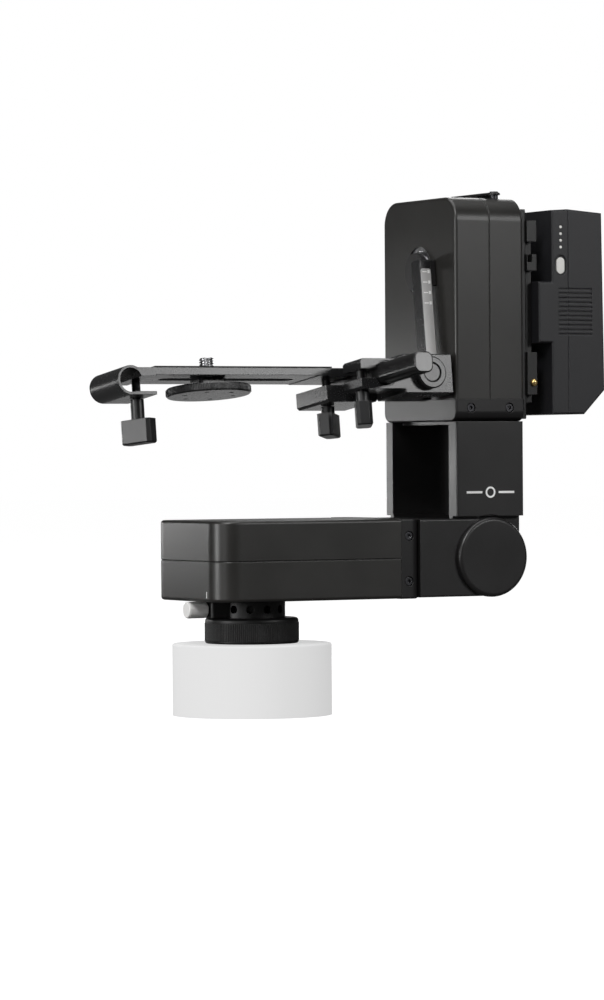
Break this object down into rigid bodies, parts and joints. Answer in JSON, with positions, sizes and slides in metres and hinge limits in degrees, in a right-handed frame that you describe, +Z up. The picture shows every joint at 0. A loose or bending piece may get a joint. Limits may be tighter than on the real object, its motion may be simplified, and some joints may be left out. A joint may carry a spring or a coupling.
{
  "type": "motorised pan and tilt head",
  "caption": "Motorised pan-and-tilt head: round tripod base, pan arm, folding hinge, battery-carrying tilt tower, and an adjustable camera plate hung from the tilt axis.",
  "frame": {"origin": "pan axis at the underside of the base, at the mouth of the tripod thread", "axes": "+Z up along the pan axis, +X along the arm towards the tower, -Y the front of the head; the camera support is stored tilted 7.3 degrees lens-up"},
  "size_m": [0.3336, 0.1456, 0.2845],
  "materials": {
    "unit_black": "satin black anodised",
    "link_black": "satin black anodised",
    "band_black": "satin black anodised",
    "support_black": "bead-blasted black anodised",
    "rod_grey": "satin grey anodised",
    "base_black": "satin black anodised, knurled",
    "silver_metal": "turned, bright",
    "screw_steel": "black oxide",
    "shaft_steel": "ground",
    "knob_black": "moulded",
    "battery_case": "fine moulded grain",
    "plate_black": "moulded",
    "button_light": "translucent",
    "cell_wrap": "shrink wrap",
    "board_green": "solder mask",
    "belt_rubber": "matt",
    "pad_rubber": "matt, fine texture",
    "contact_brass": "polished",
    "bush_bronze": "machined"
  },
  "bodies": {
    "base": {"base_ring": "base_black", "thread_insert": "shaft_steel", "mount_collar": "base_black", "clamp_block": "base_black", "base_screws": "screw_steel", "pan_shaft": "shaft_steel", "pan_fixed_pulley": "silver_metal"},
    "clamp_screw": {"clamp_thumbscrew": "silver_metal"},
    "pan_arm": {"pan_shell_lower": "unit_black", "pan_shell_upper": "unit_black", "pan_shell_screws": "screw_steel", "pan_band": "band_black", "pan_band_screws": "screw_steel", "arm_link": "link_black", "hinge_cap_front": "link_black", "hinge_cap_back": "link_black", "hinge_pin": "shaft_steel", "pan_bearings": "shaft_steel", "pan_motor": "shaft_steel", "pan_belt": "belt_rubber", "pan_control_board": "board_green"},
    "pan_pulley": {"pan_motor_pulley": "silver_metal"},
    "tower": {"tower_link": "link_black", "hinge_bushes": "bush_bronze", "tower_shell_left": "unit_black", "tower_shell_right": "unit_black", "tower_shell_screws": "screw_steel", "tower_band": "band_black", "tower_band_screws": "screw_steel", "tilt_bearings": "shaft_steel", "tilt_motor": "shaft_steel", "tilt_belt": "belt_rubber", "tilt_control_board": "board_green", "battery_plate": "plate_black", "plate_screws": "screw_steel", "battery_contacts": "contact_brass", "latch_pin": "contact_brass", "lever_pivot": "screw_steel"},
    "tilt_pulley": {"tilt_motor_pulley": "silver_metal"},
    "release_lever": {"release_lever": "link_black"},
    "battery": {"battery_shell_inner": "battery_case", "battery_shell_outer": "battery_case", "battery_cells": "cell_wrap", "battery_leds": "button_light"},
    "battery_button": {"battery_button": "button_light"},
    "tilt_output": {"tilt_shaft": "shaft_steel", "tilt_hub": "link_black", "tilt_driven_pulley": "silver_metal", "height_post": "support_black"},
    "bracket": {"l_bracket": "support_black"},
    "height_knob": {"height_knob": "support_black"},
    "carriage": {"slide_rod": "rod_grey", "camera_plate": "support_black", "rubber_pad": "pad_rubber"},
    "rod_knob": {"rod_knob": "knob_black"},
    "plate_knob_left": {"plate_knob_left": "knob_black"},
    "plate_knob_right": {"plate_knob_right": "knob_black"},
    "screw_carrier": {"screw_carrier": "support_black"},
    "camera_screw": {"camera_screw": "shaft_steel", "camera_screw_wheel": "support_black"}
  },
  "joints": [
    {"name": "pan", "type": "hinge", "parent": "base", "child": "pan_arm", "pos_m": [0, 0, 0.052], "axis": [0, 0, 1], "continuous": true},
    {"name": "pan_motor_spin", "type": "hinge", "parent": "pan_arm", "child": "pan_pulley", "pos_m": [0.058, 0, 0.052], "axis": [0, 0, 1], "continuous": true},
    {"name": "thumbscrew_spin", "type": "hinge", "parent": "base", "child": "clamp_screw", "pos_m": [-0.039, 0, 0.0214], "axis": [1, 0, 0], "continuous": true},
    {"name": "fold", "type": "hinge", "parent": "pan_arm", "child": "tower", "pos_m": [0.1475, 0, 0.052], "axis": [0, 1, 0], "range_deg": [0, 90]},
    {"name": "tilt", "type": "hinge", "parent": "tower", "child": "tilt_output", "pos_m": [0.1475, 0, 0.234], "axis": [1, 0, 0], "continuous": true},
    {"name": "tilt_motor_spin", "type": "hinge", "parent": "tower", "child": "tilt_pulley", "pos_m": [0.16, 0, 0.176], "axis": [1, 0, 0], "continuous": true},
    {"name": "release_lever_swing", "type": "hinge", "parent": "tower", "child": "release_lever", "pos_m": [0.16, -0.031, 0.284], "axis": [0, 0, 1], "range_deg": [0, 25], "stiffness_Nm_per_rad": 0.02},
    {"name": "battery_slide", "type": "slide", "parent": "tower", "child": "battery", "axis": [0, 0, 1], "range_m": [0, 0.03]},
    {"name": "battery_button_press", "type": "slide", "parent": "battery", "child": "battery_button", "axis": [0, 1, 0], "range_m": [0, 0.0008], "stiffness_N_per_m": 300},
    {"name": "height_slide", "type": "slide", "parent": "tilt_output", "child": "bracket", "axis": [0, 0.1271, 0.9919], "range_m": [0, 0.04]},
    {"name": "height_knob_spin", "type": "hinge", "parent": "bracket", "child": "height_knob", "pos_m": [0.101, -0.05073, 0.16851], "axis": [0, 0.9919, -0.1271], "continuous": true},
    {"name": "fore_aft_slide", "type": "slide", "parent": "bracket", "child": "carriage", "axis": [0, 0.9919, -0.1271], "range_m": [-0.007, 0.04]},
    {"name": "rod_knob_spin", "type": "hinge", "parent": "bracket", "child": "rod_knob", "pos_m": [0.0593, -0.03948, 0.14227], "axis": [0, 0.1271, 0.9919], "continuous": true},
    {"name": "plate_knob_left_spin", "type": "hinge", "parent": "carriage", "child": "plate_knob_left", "pos_m": [-0.078, 0.0002, 0.13719], "axis": [0, 0.1271, 0.9919], "continuous": true},
    {"name": "plate_knob_right_spin", "type": "hinge", "parent": "carriage", "child": "plate_knob_right", "pos_m": [0.056, 0.0002, 0.13719], "axis": [0, 0.1271, 0.9919], "continuous": true},
    {"name": "camera_screw_slide", "type": "slide", "parent": "carriage", "child": "screw_carrier", "axis": [1, 0, 0], "range_m": [-0.017, 0.045]},
    {"name": "camera_screw_spin", "type": "hinge", "parent": "screw_carrier", "child": "camera_screw", "pos_m": [-0.028, 0.00287, 0.15802], "axis": [0, 0.1271, 0.9919], "continuous": true}
  ],
  "couplings": [
    {"joint": "pan_motor_spin", "follows": "pan", "ratio": -2.5},
    {"joint": "tilt_motor_spin", "follows": "tilt", "ratio": 2.5}
  ]
}
